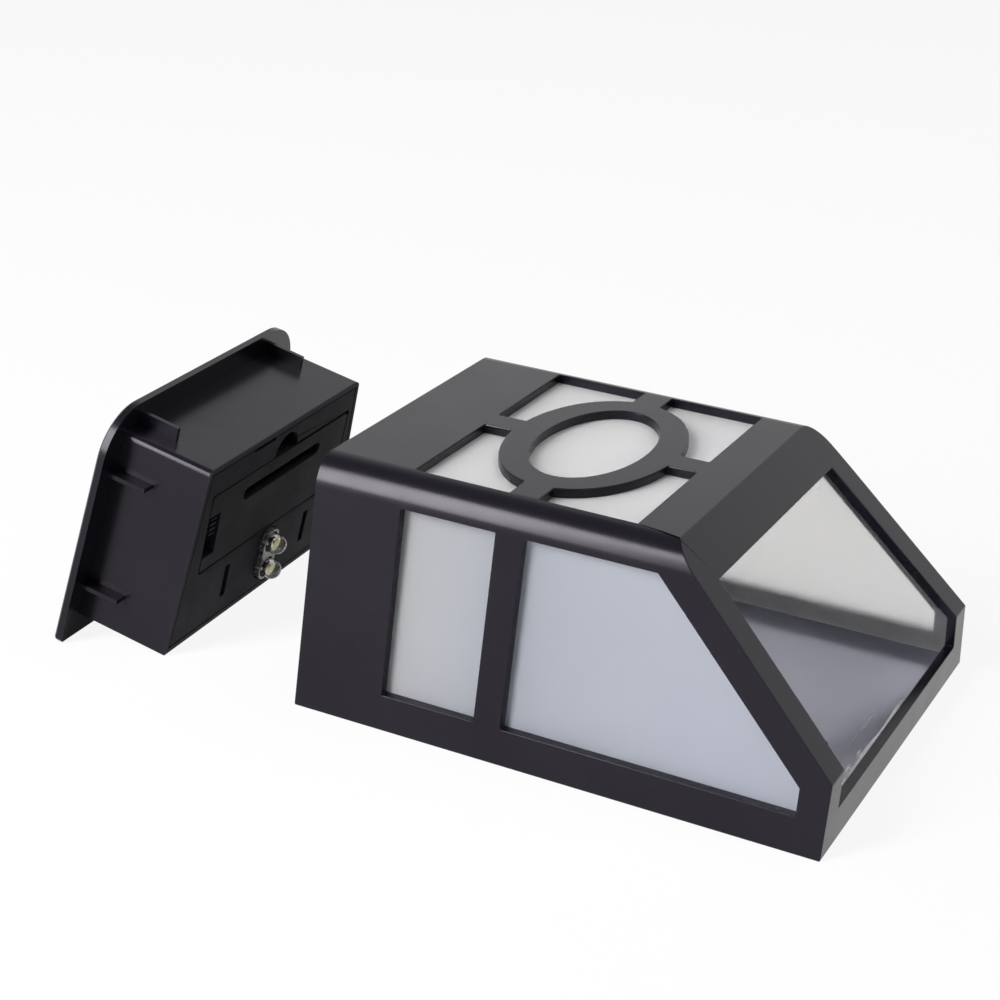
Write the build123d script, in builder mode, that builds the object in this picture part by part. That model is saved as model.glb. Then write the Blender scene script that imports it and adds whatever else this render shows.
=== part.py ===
from build123d import *
import math
import os

os.makedirs("parts", exist_ok=True)

# Lantern, driving sizes in millimetres
lantern_length = 122.8
lantern_height = 56.1
end_height = 16.1
side_lean = 0.16
wall = 2.2
edge_radius = 7.0
inner_radius = 2.0
gap = 0.3
# side windows
window_low = 7.8
window_top_margin = 6.6
narrow_from = 21.3
narrow_width = 22.5
bar_width = 6.5
end_margin = 6.5
slope_margin = 6.3
# front window with its oval ring
front_from = 20.9
front_end_margin = 10.2
front_side_margin = 5.5
ring_width = 6.8
spoke_width = 7.0
spoke_length = 6.7
# opening for the solar module
top_strip = 11.5
jamb = 7.55
lip_height = 7.75
seat_gap = 0.25
# sheets inside
sheet = 1.0
sheet_lap = 3.8
sheet_gap = 0.2
front_lap = 1.3
top_lap = 2.4
slope_clear = 1.4
# back plate
plate = 2.0
keyhole_at = 2.0
keyhole_half = 20.0
entry_radius = 4.2
hang_run = 9.0
hang_width = 4.4
head_room = 1.0
tongue_at = 30.0
tongue_width = 10.0
tongue_reach = 1.6
tongue_thick = 1.2
# back screws and their bosses
screw_end_inset = 8.0
screw_side_inset = 14.0
boss_radius = 3.5
boss_height = 12.0
web_thick = 2.4
pad_radius = 4.6
pad_height = 4.0
head_radius = 2.5
head_height = 2.0
head_sink = 0.2
shank_radius = 1.25
shank_length = 10.0
pilot_spare = 0.5
drive_length = 3.0
drive_width = 0.7
drive_depth = 1.1

# Solar module, driving sizes
box_wall = 1.2
box_round = 1.6
front_wall = 1.4
flange_side = 6.16
flange_below = 5.15
flange_above = 5.7
flange_thick = 2.1
flange_corner = 12.3
flange_edge = 0.5
foot_chamfer = 0.8
# stop ribs
rib_length = 10.0
rib_out = 3.3
rib_taper = 0.2
rib_thick = 1.1
rib_root = 0.5
side_rib_low = 9.0
side_rib_high = 37.6
top_rib_at = 28.0
# solar panel
panel_edge = 5.7
panel_side = 6.1
panel_board_thick = 0.8
panel_cell_thick = 0.3
panel_cover_thick = 0.4
panel_web = 0.5
panel_cell_count = 4
panel_cell_gap = 0.6
panel_border = 3.0
wire_hole_at = 8.0
wire_hole_radius = 2.4
wire_half_pitch = 0.9
# lid and door
lid_thick = 1.8
lid_gap = 0.25
post_size = 4.4
post_inset = 3.2
lid_above = 6.55
wire_space = 3.3
ledge = 1.2
ledge_lap = 0.9
door_centre = 0.5
door_thick = 1.6
door_round = 1.2
door_side = 2.71
door_lap = 0.6
door_edge = 0.5
door_below = 2.8
door_above = 2.5
door_strip = 0.9
door_relief = 0.4
spring_slot_length = 35.4
spring_slot_width = 3.2
spring_slot_drop = 5.2
spring_slot_shift = 1.0
tab_at = 20.0
tab_width = 6.0
tab_thick = 1.2
tab_reach = 1.0
tab_room = 0.4
finger_radius = 5.2
finger_shift = 0.7
pry_width = 9.2
pry_depth = 0.7
pry_at = 10.4
slit_at = 18.4
slit_width = 2.1
slit_length = 8.8
# cell and contacts
cell_radius = 7.1
cell_length = 50.4
cell_room = 0.4
cell_cover = 1.2
nub_radius = 2.7
nub_height = 1.2
strip = 0.4
strip_width = 7.6
spring_room = 4.4
tail_clear = 1.0
contact_reach = 6.6
leaf_bend = 0.6
leaf_half_flat = 2.0
leaf_slant = 3.0
leaf_fall = 1.6
# switch
switch_width = 4.8
switch_depth = 4.2
switch_floor = 1.4
switch_cheek = 0.7
switch_drop = 1.15
notch_length = 10.9
notch_inset = 0.6
notch_side = 0.2
knob_width = 2.6
knob_length = 4.4
knob_room = 0.4
knob_rise = 1.4
knob_end_gap = 0.5
grip_pitch = 1.4
grip_width = 0.7
grip_depth = 0.5
# lights and board
led_at = 1.5
led_low = 6.9
led_pitch = 7.2
led_radius = 2.5
led_flange = 0.4
led_flange_thick = 1.0
led_straight = 6.2
led_hole_margin = 1.2
holder_thick = 0.8
holder_rise = 1.2
holder_wing = 2.3
lead_width = 0.5
lead_half_pitch = 1.27
lead_end = 0.8
board_thick = 1.6
lead_free = 3.3
board_left = -12.0
board_width = 39.0
board_height = 15.0
board_drop = 0.4
board_post_inset = 3.0
board_post_pitch = 28.0
board_post_radius = 2.2
board_pin_radius = 0.9
board_pin_rise = 0.8
chip_length = 5.0
chip_width = 4.0
chip_thick = 1.6
chip_drop = 4.5
choke_size = 5.6
choke_round = 1.0
choke_thick = 3.0
choke_rise = 2.7
parts_at = 11.5
# wires
wire_radius = 0.6
wire_bend = 1.6
wire_sides = 8
wire_jog = 2.0
red_aside = 5.0
black_aside = 2.2
minus_below = 4.0
minus_inset = 4.5
minus_behind = 4.5
minus_aside = 4.0

# The box is as deep as the wires, the cell and the lid need, and as high as the lights and the door need
box_depth = front_wall + wire_space + ledge + cell_room + 2 * cell_radius + cell_cover + lid_thick
led_top = led_low + led_pitch + led_radius + led_hole_margin
cell_level = led_top + door_strip + door_below + cell_room + cell_radius
box_height = cell_level + cell_radius + cell_room + door_above + lid_above + lid_gap + box_wall

# Where the module stands beside the lantern, and how it leans
module_x = -123.68
module_y = -7.25
module_turn = 0.039
module_lean = math.atan(flange_below / box_depth)

# Levels in the module, from the flange's inner face towards the light end, and upwards
slope_lean = side_lean / math.sqrt(2)
lid_floor = box_depth - lid_thick
ledge_floor = lid_floor - ledge
lid_top = box_height - box_wall - lid_gap
lid_low = box_wall + lid_gap
door_floor = box_depth - door_thick
cell_depth = lid_floor - cell_cover - cell_radius
tub_floor = cell_depth - cell_radius - cell_room
tub_low = cell_level - cell_radius - cell_room
tub_high = cell_level + cell_radius + cell_room
door_low = tub_low - door_below
door_high = tub_high + door_above
door_mid = (door_low + door_high) / 2
tail_end = front_wall + tail_clear
tail_mid = (tail_end + tub_floor - ledge) / 2
switch_zone = door_edge + switch_width + gap + ledge
tub_length = strip + cell_length + spring_room
door_width = tub_length + door_lap + switch_zone
door_left = door_centre - door_width / 2
notch_edge = door_centre + finger_shift + finger_radius
tub_left = door_left + switch_zone
tub_right = tub_left + tub_length
tub_centre = (tub_left + tub_right) / 2
cell_plus = tub_right - strip
cell_minus = cell_plus - cell_length
switch_at = door_left + door_edge + switch_width / 2
switch_mid = cell_level - switch_drop
switch_back = ledge_floor - switch_depth
knob_slot_width = knob_width + 2 * knob_room
knob_slot_length = notch_length - 2 * notch_inset
knob_level = switch_mid + knob_slot_length / 2 - knob_end_gap - knob_length / 2
notch_right = switch_at + knob_slot_width / 2 + notch_side
led_levels = [led_low, led_low + led_pitch]
led_middle = led_low + led_pitch / 2
led_base = lid_floor - holder_thick - led_flange_thick
led_hole_width = 2 * (led_radius + led_hole_margin)
led_hole_length = led_pitch + led_hole_width
tab_places = [door_centre - tab_at, door_centre + tab_at]
hook_inner = math.hypot(lid_thick, gap) + gap
hook_outer = hook_inner + tab_thick
board_mid = led_middle - board_drop
board_front = led_base - lead_free
board_at = board_front - board_thick
post_places = [board_left + board_post_inset, board_left + board_post_inset + board_post_pitch]

# Widths follow from the cell: door, box, opening and lantern
box_half_low = door_width / 2 + door_side + lid_gap + box_wall + slope_lean * door_high
flange_half = box_half_low + flange_side
seat_low = lantern_height - (top_strip + gap + box_height) / math.sqrt(2)
lantern_half = box_half_low + seat_gap + jamb + side_lean * seat_low

# Places on the lantern that follow from the sizes above
half_length = lantern_length / 2
lean_angle = math.atan(side_lean)
slope_from = half_length - (lantern_height - end_height)
slope_length = (lantern_height - end_height) * math.sqrt(2)
slope_sum = slope_from + lantern_height
inner_top = lantern_height - wall
inner_end = half_length - wall
inner_back = lantern_half - wall / math.cos(lean_angle)
inner_slope_sum = slope_sum - wall * math.sqrt(2)
strip_z = lantern_height - top_strip / math.sqrt(2)
opening_half = lantern_half - side_lean * strip_z - jamb
window_high = lantern_height - window_top_margin
narrow_left = narrow_from - half_length
narrow_right = narrow_left + narrow_width
big_left = narrow_right + bar_width
big_right = half_length - end_margin
big_sum = slope_sum - slope_margin * math.sqrt(2)
front_left = front_from - half_length
front_right = slope_from - front_end_margin
front_centre = (front_left + front_right) / 2
front_length = front_right - front_left
front_width = 2 * (lantern_half - side_lean * lantern_height - front_side_margin)
ring_half_length = front_length / 2 - spoke_length
ring_half_width = front_width / 2 - spoke_length
chamber_floor = plate + sheet
screw_x = screw_end_inset - half_length
screw_y = lantern_half - screw_side_inset
screw_places = [(screw_x, -screw_y), (screw_x, screw_y)]
sheet_low = (chamber_floor + sheet_gap) / math.cos(lean_angle)
sheet_high = (window_high + top_lap) / math.cos(lean_angle)
sheet_left = narrow_left - sheet_lap
sheet_right = inner_end - gap
sheet_sum = inner_slope_sum - slope_clear * math.sqrt(2)
sheet_end_high = (sheet_sum - sheet_right) / math.cos(lean_angle)
sheet_top_right = sheet_sum - window_high - top_lap


def outer_half(z):
    return lantern_half - side_lean * z


def inner_half(z):
    return inner_back - side_lean * z


def box_half(w):
    return box_half_low - slope_lean * w


def rim_half(w):
    return flange_half - slope_lean * w


module_plane = Plane(
    origin=(module_x, module_y, box_depth * math.sin(module_lean)),
    x_dir=(
        math.cos(module_lean) * math.cos(module_turn),
        math.cos(module_lean) * math.sin(module_turn),
        -math.sin(module_lean),
    ),
    z_dir=(
        math.sin(module_lean) * math.cos(module_turn),
        math.sin(module_lean) * math.sin(module_turn),
        math.cos(module_lean),
    ),
)
module_place = module_plane.location

# Hollow of the lantern, cut back under the slope
with BuildPart() as cavity:
    with BuildSketch(Plane.YZ.offset(-inner_end)) as cavity_profile:
        with BuildLine():
            Polyline(
                (-inner_half(-wall), -wall),
                (inner_half(-wall), -wall),
                (inner_half(inner_top), inner_top),
                (-inner_half(inner_top), inner_top),
                close=True,
            )
        make_face()
        fillet(cavity_profile.vertices().group_by(Axis.Y)[-1], radius=inner_radius)
    extrude(amount=2 * inner_end)
    with BuildSketch(Plane.XZ):
        with BuildLine():
            Polyline(
                (inner_slope_sum - 2 * lantern_height, 2 * lantern_height),
                (inner_slope_sum + lantern_height, 2 * lantern_height),
                (inner_slope_sum + lantern_height, -lantern_height),
                close=True,
            )
        make_face()
    extrude(amount=lantern_length, both=True, mode=Mode.SUBTRACT)

# Moulded frame: leaning sides, sloped top end, windows and the ring with its spokes
with BuildPart() as lantern_frame:
    with BuildSketch(Plane.YZ.offset(-half_length)) as frame_profile:
        with BuildLine():
            Polyline(
                (-outer_half(0), 0),
                (outer_half(0), 0),
                (outer_half(lantern_height), lantern_height),
                (-outer_half(lantern_height), lantern_height),
                close=True,
            )
        make_face()
        fillet(frame_profile.vertices().group_by(Axis.Y)[-1], radius=edge_radius)
    extrude(amount=lantern_length)
    with BuildSketch(Plane.XZ):
        with BuildLine():
            Polyline(
                (slope_sum - 2 * lantern_height, 2 * lantern_height),
                (slope_sum + lantern_height, 2 * lantern_height),
                (slope_sum + lantern_height, -lantern_height),
                close=True,
            )
        make_face()
    extrude(amount=lantern_length, both=True, mode=Mode.SUBTRACT)
    add(cavity.part, mode=Mode.SUBTRACT)
    # narrow window and five-sided window through both sides
    with BuildSketch(Plane.XZ):
        with BuildLine():
            Polyline(
                (narrow_left, window_low),
                (narrow_right, window_low),
                (narrow_right, window_high),
                (narrow_left, window_high),
                close=True,
            )
        make_face()
        with BuildLine():
            Polyline(
                (big_left, window_low),
                (big_right, window_low),
                (big_right, big_sum - big_right),
                (big_sum - window_high, window_high),
                (big_left, window_high),
                close=True,
            )
        make_face()
    extrude(amount=lantern_length, both=True, mode=Mode.SUBTRACT)
    # front window around an oval ring held by four spokes
    with BuildSketch(Plane.XY.offset(lantern_height)):
        with Locations((front_centre, 0)):
            Rectangle(front_length, front_width)
            Ellipse(ring_half_length, ring_half_width, mode=Mode.SUBTRACT)
            Rectangle(front_length, spoke_width, mode=Mode.SUBTRACT)
            Rectangle(spoke_width, front_width, mode=Mode.SUBTRACT)
            Ellipse(ring_half_length - ring_width, ring_half_width - ring_width)
    extrude(amount=-2 * wall, mode=Mode.SUBTRACT)
    # opening in the slope
    with BuildSketch(Plane(origin=(slope_from, 0, lantern_height), x_dir=(0, 1, 0), z_dir=(1, 0, 1))):
        with BuildLine():
            Polyline(
                (-opening_half, -top_strip),
                (opening_half, -top_strip),
                (opening_half + slope_lean * slope_length, -top_strip - slope_length),
                (-opening_half - slope_lean * slope_length, -top_strip - slope_length),
                close=True,
            )
        make_face()
    extrude(amount=-2 * wall, mode=Mode.SUBTRACT)
    # notch in the end wall below the slope
    with BuildSketch(Plane.YZ.offset(half_length)):
        with BuildLine():
            Polyline(
                (-outer_half(lip_height) + jamb, lip_height),
                (outer_half(lip_height) - jamb, lip_height),
                (outer_half(end_height + 2 * wall) - jamb, end_height + 2 * wall),
                (-outer_half(end_height + 2 * wall) + jamb, end_height + 2 * wall),
                close=True,
            )
        make_face()
    extrude(amount=-2 * wall, mode=Mode.SUBTRACT)
    # pockets for the back plate's tongues
    with BuildSketch(Plane.YZ.offset(inner_end)):
        with Locations((-tongue_at, plate - tongue_thick / 2), (tongue_at, plate - tongue_thick / 2)):
            Rectangle(tongue_width + 2 * gap, tongue_thick + 2 * gap)
    extrude(amount=tongue_reach, mode=Mode.SUBTRACT)
    # screw bosses with webs to the lower end wall
    with BuildSketch(Plane.XY.offset(pad_height)):
        with Locations(*screw_places):
            Circle(boss_radius)
        with Locations(
            (-inner_end + (screw_end_inset - wall) / 2, -screw_y),
            (-inner_end + (screw_end_inset - wall) / 2, screw_y),
        ):
            Rectangle(screw_end_inset - wall, web_thick)
    extrude(amount=boss_height)
    with BuildSketch(Plane.XY.offset(pad_height)):
        with Locations(*screw_places):
            Circle(shank_radius + gap)
    extrude(amount=head_sink + head_height + shank_length + pilot_spare - pad_height, mode=Mode.SUBTRACT)
lantern_frame.part.label = "lantern_frame"
export_step(lantern_frame.part, "parts/lantern_frame.step")

# Frosted sheet behind the front window
with BuildPart() as front_diffuser:
    with BuildSketch(Plane.XY.offset(inner_top)):
        with Locations((front_centre, 0)):
            Rectangle(front_length + 2 * sheet_lap, front_width + 2 * front_lap)
    extrude(amount=-sheet)
front_diffuser.part.label = "front_diffuser"
export_step(front_diffuser.part, "parts/front_diffuser.step")

# Frosted sheet along the near side wall
near_wall = Plane(
    origin=(0, -inner_back, 0),
    x_dir=(1, 0, 0),
    z_dir=(0, -math.cos(lean_angle), math.sin(lean_angle)),
)
with BuildPart() as near_diffuser:
    with BuildSketch(near_wall):
        with BuildLine():
            Polyline(
                (sheet_left, sheet_low),
                (sheet_right, sheet_low),
                (sheet_right, sheet_end_high),
                (sheet_top_right, sheet_high),
                (sheet_left, sheet_high),
                close=True,
            )
        make_face()
    extrude(amount=-sheet)
near_diffuser.part.label = "near_diffuser"
export_step(near_diffuser.part, "parts/near_diffuser.step")

# Frosted sheet along the far side wall
with BuildPart() as far_diffuser:
    add(near_diffuser.part)
    mirror(about=Plane.XZ, mode=Mode.REPLACE)
far_diffuser.part.label = "far_diffuser"
export_step(far_diffuser.part, "parts/far_diffuser.step")

# Silvered sheet on the back plate, cut out around the keyholes for the heads of the wall screws
sheet_start = screw_x + pad_radius + gap
with BuildPart() as reflector_sheet:
    with BuildSketch(Plane.XY.offset(plate)):
        with Locations(((inner_end - gap + sheet_start) / 2, 0)):
            Rectangle(inner_end - gap - sheet_start, 2 * (inner_half(chamber_floor) - gap))
        with Locations((keyhole_at + hang_run / 2, -keyhole_half), (keyhole_at + hang_run / 2, keyhole_half)):
            SlotCenterToCenter(hang_run, 2 * (entry_radius + head_room), mode=Mode.SUBTRACT)
    extrude(amount=sheet)
reflector_sheet.part.label = "reflector_sheet"
export_step(reflector_sheet.part, "parts/reflector_sheet.step")

# Back plate with hanging keyholes, screw pads and two tongues
with BuildPart() as back_plate:
    with BuildSketch():
        Rectangle(2 * (inner_end - gap), 2 * (inner_half(plate) - gap))
        with Locations((keyhole_at, -keyhole_half), (keyhole_at, keyhole_half)):
            Circle(entry_radius, mode=Mode.SUBTRACT)
        with Locations((keyhole_at + hang_run / 2, -keyhole_half), (keyhole_at + hang_run / 2, keyhole_half)):
            SlotCenterToCenter(hang_run, hang_width, mode=Mode.SUBTRACT)
    extrude(amount=plate)
    with BuildSketch():
        with Locations(*screw_places):
            Circle(pad_radius)
    extrude(amount=pad_height)
    with Locations(*[Location((x, y, 0), (180, 0, 0)) for x, y in screw_places]):
        CounterBoreHole(shank_radius + gap, head_radius + gap, head_sink + head_height, depth=pad_height)
    with BuildSketch(Plane.YZ.offset(inner_end - gap)):
        with Locations((-tongue_at, plate - tongue_thick / 2), (tongue_at, plate - tongue_thick / 2)):
            Rectangle(tongue_width, tongue_thick)
    extrude(amount=tongue_reach)
back_plate.part.label = "back_plate"
export_step(back_plate.part, "parts/back_plate.step")

# Two self-tapping screws for the back plate
with BuildPart() as back_screws:
    with BuildSketch(Plane.XY.offset(head_sink)):
        with Locations(*screw_places):
            Circle(head_radius)
    extrude(amount=head_height)
    with BuildSketch(Plane.XY.offset(head_sink + head_height)):
        with Locations(*screw_places):
            Circle(shank_radius)
    extrude(amount=shank_length)
    with BuildSketch(Plane.XY.offset(head_sink)):
        with Locations(*screw_places):
            Rectangle(drive_length, drive_width)
            Rectangle(drive_width, drive_length)
    extrude(amount=drive_depth, mode=Mode.SUBTRACT)
back_screws.part.label = "back_screws"
export_step(back_screws.part, "parts/back_screws.step")

# Module housing: leaning box, canopy flange and stop ribs
panel_height = box_height + flange_below + flange_above - 2 * panel_edge
panel_mid = (box_height + flange_above - flange_below) / 2
panel_width = 2 * (rim_half(panel_mid + panel_height / 2) - panel_side)
panel_floor = -panel_web
with BuildPart() as module_housing:
    with BuildSketch(Plane.YZ.offset(-flange_thick)) as flange_profile:
        with BuildLine():
            Polyline(
                (-rim_half(-flange_below), -flange_below),
                (rim_half(-flange_below), -flange_below),
                (rim_half(box_height + flange_above), box_height + flange_above),
                (-rim_half(box_height + flange_above), box_height + flange_above),
                close=True,
            )
        make_face()
        fillet(flange_profile.vertices().group_by(Axis.Y)[-1], radius=flange_corner)
        chamfer(flange_profile.vertices().group_by(Axis.Y)[0], length=foot_chamfer)
    extrude(amount=flange_thick)
    chamfer(module_housing.faces().sort_by(Axis.X)[0].edges(), length=flange_edge)
    with BuildSketch(Plane.YZ) as box_profile:
        with BuildLine():
            Polyline(
                (-box_half(0), 0),
                (box_half(0), 0),
                (box_half(box_height), box_height),
                (-box_half(box_height), box_height),
                close=True,
            )
        make_face()
        fillet(box_profile.vertices().group_by(Axis.Y)[-1], radius=box_round)
    extrude(amount=box_depth)
    with BuildSketch(Plane.YZ.offset(front_wall)):
        with BuildLine():
            Polyline(
                (-box_half(box_wall) + box_wall, box_wall),
                (box_half(box_wall) - box_wall, box_wall),
                (box_half(box_height - box_wall) - box_wall, box_height - box_wall),
                (-box_half(box_height - box_wall) + box_wall, box_height - box_wall),
                close=True,
            )
        make_face()
    extrude(amount=box_depth, mode=Mode.SUBTRACT)
    # recess for the solar panel, with a hole for its wires
    with BuildSketch(Plane.YZ.offset(-flange_thick)):
        with Locations((0, panel_mid)):
            Rectangle(panel_width + 2 * gap, panel_height + 2 * gap)
    extrude(amount=flange_thick - panel_web, mode=Mode.SUBTRACT)
    with BuildSketch(Plane.YZ.offset(panel_floor)):
        with Locations((wire_hole_at, board_mid)):
            Circle(wire_hole_radius)
    extrude(amount=front_wall + panel_web, mode=Mode.SUBTRACT)
    # stop ribs on both sides
    for level in (side_rib_low, side_rib_high):
        for side in (-1, 1):
            with BuildSketch(Plane.XY.offset(level - rib_thick / 2)):
                with BuildLine():
                    Polyline(
                        (-panel_web / 2, side * (box_half(level) - rib_root)),
                        (-panel_web / 2, side * (box_half(level) + rib_out)),
                        (rib_length, side * (box_half(level) + rib_out - rib_taper)),
                        (rib_length, side * (box_half(level) - rib_root)),
                        close=True,
                    )
                make_face()
            extrude(amount=rib_thick)
    # stop ribs on top
    for side in (-1, 1):
        with BuildSketch(Plane.XZ.offset(-side * top_rib_at - rib_thick / 2)):
            with BuildLine():
                Polyline(
                    (-panel_web / 2, box_height - rib_root),
                    (-panel_web / 2, box_height + rib_out),
                    (rib_length, box_height + rib_out - rib_taper),
                    (rib_length, box_height - rib_root),
                    close=True,
                )
            make_face()
        extrude(amount=rib_thick)
    # corner posts under the lid
    with BuildSketch(Plane.YZ.offset(front_wall / 2)):
        with Locations(
            (-box_half(post_inset) + post_inset, post_inset),
            (box_half(post_inset) - post_inset, post_inset),
            (-box_half(box_height - post_inset) + post_inset, box_height - post_inset),
            (box_half(box_height - post_inset) - post_inset, box_height - post_inset),
        ):
            Rectangle(post_size, post_size)
    extrude(amount=lid_floor - front_wall / 2)
    # posts and pins for the circuit board
    with BuildSketch(Plane.YZ.offset(front_wall / 2)):
        with Locations((post_places[0], board_mid), (post_places[1], board_mid)):
            Circle(board_post_radius)
    extrude(amount=board_at - front_wall / 2)
    with BuildSketch(Plane.YZ.offset(board_at)):
        with Locations((post_places[0], board_mid), (post_places[1], board_mid)):
            Circle(board_pin_radius)
    extrude(amount=board_thick + board_pin_rise)
module_housing.part.label = "module_housing"
module_housing.part.locate(module_place)
export_step(module_housing.part, "parts/module_housing.step")

# Solar panel board
panel_board_at = panel_floor - panel_board_thick
with BuildPart() as panel_base:
    with BuildSketch(Plane.YZ.offset(panel_board_at)):
        with Locations((0, panel_mid)):
            Rectangle(panel_width, panel_height)
    extrude(amount=panel_board_thick)
panel_base.part.label = "panel_base"
panel_base.part.locate(module_place)
export_step(panel_base.part, "parts/panel_base.step")

# Cell strips on the panel board
panel_pitch = (panel_width - 2 * panel_border + panel_cell_gap) / panel_cell_count
with BuildPart() as panel_cells:
    with BuildSketch(Plane.YZ.offset(panel_board_at - panel_cell_thick)):
        with Locations((0, panel_mid)):
            with GridLocations(panel_pitch, 1, panel_cell_count, 1):
                Rectangle(panel_pitch - panel_cell_gap, panel_height - 2 * panel_border)
    extrude(amount=panel_cell_thick)
panel_cells.part.label = "panel_cells"
panel_cells.part.locate(module_place)
export_step(panel_cells.part, "parts/panel_cells.step")

# Clear cover over the cells
with BuildPart() as panel_cover:
    with BuildSketch(Plane.YZ.offset(panel_board_at - panel_cell_thick - panel_cover_thick)):
        with Locations((0, panel_mid)):
            Rectangle(panel_width, panel_height)
    extrude(amount=panel_cover_thick)
panel_cover.part.label = "panel_cover"
panel_cover.part.locate(module_place)
export_step(panel_cover.part, "parts/panel_cover.step")

# Lid of the module with its battery tub
with BuildPart() as module_lid:
    with BuildSketch(Plane.YZ.offset(lid_floor)):
        with BuildLine():
            Polyline(
                (-box_half(lid_low) + box_wall + lid_gap, lid_low),
                (box_half(lid_low) - box_wall - lid_gap, lid_low),
                (box_half(lid_top) - box_wall - lid_gap, lid_top),
                (-box_half(lid_top) + box_wall + lid_gap, lid_top),
                close=True,
            )
        make_face()
    extrude(amount=lid_thick)
    with BuildSketch(Plane.YZ.offset(lid_floor)):
        with Locations((door_centre, door_mid)):
            Rectangle(door_width + 2 * gap, door_high - door_low + 2 * gap)
    extrude(amount=lid_thick, mode=Mode.SUBTRACT)
    # ledge under the door
    with BuildSketch(Plane.YZ.offset(ledge_floor)):
        with Locations((door_centre, door_mid)):
            Rectangle(door_width + 2 * (gap + ledge_lap), door_high - door_low + 2 * (gap + ledge_lap))
    extrude(amount=ledge)
    # battery tub
    with BuildSketch(Plane.YZ.offset(tub_floor - ledge)):
        with Locations((tub_centre, cell_level)):
            Rectangle(tub_length + 2 * ledge, tub_high - tub_low + 2 * ledge)
    extrude(amount=ledge_floor - tub_floor + ledge)
    with BuildSketch(Plane.YZ.offset(tub_floor)):
        with Locations((tub_centre, cell_level)):
            Rectangle(tub_length, tub_high - tub_low)
    extrude(amount=lid_floor - tub_floor, mode=Mode.SUBTRACT)
    # slots in the tub floor for the two contact tails
    with BuildSketch(Plane.YZ.offset(tub_floor - ledge)):
        with Locations((tub_left + strip, cell_level), (tub_right - strip, cell_level)):
            Rectangle(2 * strip, strip_width + 2 * gap)
    extrude(amount=ledge, mode=Mode.SUBTRACT)
    # window for the switch knob
    with BuildSketch(Plane.YZ.offset(ledge_floor)):
        with Locations((switch_at, switch_mid)):
            Rectangle(knob_slot_width, knob_slot_length)
    extrude(amount=ledge, mode=Mode.SUBTRACT)
    # room for the door's hinge hooks
    with BuildSketch(Plane.YZ.offset(box_depth - hook_outer - tab_room)):
        with Locations(
            (tab_places[0], door_low + (hook_outer - tab_reach) / 2),
            (tab_places[1], door_low + (hook_outer - tab_reach) / 2),
        ):
            Rectangle(tab_width + 2 * tab_room, hook_outer + tab_reach + 2 * tab_room)
    extrude(amount=hook_outer + tab_room - lid_thick, mode=Mode.SUBTRACT)
    # finger notch over the door
    with BuildSketch(Plane.YZ.offset(ledge_floor)):
        with Locations((door_centre + finger_shift, door_high)):
            Circle(finger_radius)
        with Locations((door_centre + finger_shift, door_high - finger_radius / 2)):
            Rectangle(2 * finger_radius, finger_radius, mode=Mode.SUBTRACT)
    extrude(amount=ledge + lid_thick, mode=Mode.SUBTRACT)
    # wider gap over the door beside the finger notch
    with BuildSketch(Plane.YZ.offset(lid_floor)):
        with Locations(((notch_edge + door_left + door_width) / 2, door_high + gap)):
            Rectangle(door_left + door_width - notch_edge, 2 * door_relief)
    extrude(amount=lid_thick, mode=Mode.SUBTRACT)
    # notch for prying the lid off
    with BuildSketch(Plane.YZ.offset(lid_floor)):
        with Locations((-pry_at, lid_top)):
            Rectangle(pry_width, 2 * pry_depth)
    extrude(amount=lid_thick, mode=Mode.SUBTRACT)
    # two release slits and the hole for the light pair
    with BuildSketch(Plane.YZ.offset(lid_floor)):
        with Locations((led_at - slit_at, led_middle), (led_at + slit_at, led_middle)):
            Rectangle(slit_width, slit_length)
        with Locations((led_at, led_middle)):
            SlotOverall(led_hole_length, led_hole_width, rotation=90)
    extrude(amount=lid_thick, mode=Mode.SUBTRACT)
module_lid.part.label = "module_lid"
module_lid.part.locate(module_place)
export_step(module_lid.part, "parts/module_lid.step")

# Battery door with its spring slot, switch notch and hinge hooks
with BuildPart() as battery_door:
    with BuildSketch(Plane.YZ.offset(door_floor)) as door_outline:
        with Locations((door_centre, door_mid)):
            Rectangle(door_width, door_high - door_low)
        fillet(door_outline.vertices().group_by(Axis.Y)[-1], radius=door_round)
        with Locations((notch_right - (notch_right - door_left), switch_mid)):
            Rectangle(2 * (notch_right - door_left), notch_length, mode=Mode.SUBTRACT)
        with Locations((door_centre + spring_slot_shift, door_high - spring_slot_drop)):
            SlotOverall(spring_slot_length, spring_slot_width, mode=Mode.SUBTRACT)
    extrude(amount=door_thick)
    # round hooks that turn about the door's lower outer edge
    for place in tab_places:
        with BuildSketch(Plane.XZ.offset(-place - tab_width / 2)):
            with Locations((box_depth, door_low)):
                Circle(hook_outer)
                Circle(hook_inner, mode=Mode.SUBTRACT)
            with Locations((door_floor - hook_outer, door_low - tab_reach)):
                Rectangle(hook_outer, hook_outer + tab_reach, align=(Align.MIN, Align.MIN), mode=Mode.INTERSECT)
        extrude(amount=tab_width)
battery_door.part.label = "battery_door"
battery_door.part.locate(module_place)
export_step(battery_door.part, "parts/battery_door.step")

# Rechargeable cell
with BuildPart() as battery_cell:
    with BuildSketch(Plane.XZ.offset(-cell_minus)):
        with Locations((cell_depth, cell_level)):
            Circle(cell_radius)
    extrude(amount=nub_height - cell_length)
    with BuildSketch(Plane.XZ.offset(-cell_plus)):
        with Locations((cell_depth, cell_level)):
            Circle(nub_radius)
    extrude(amount=nub_height)
battery_cell.part.label = "battery_cell"
battery_cell.part.locate(module_place)
export_step(battery_cell.part, "parts/battery_cell.step")

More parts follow.
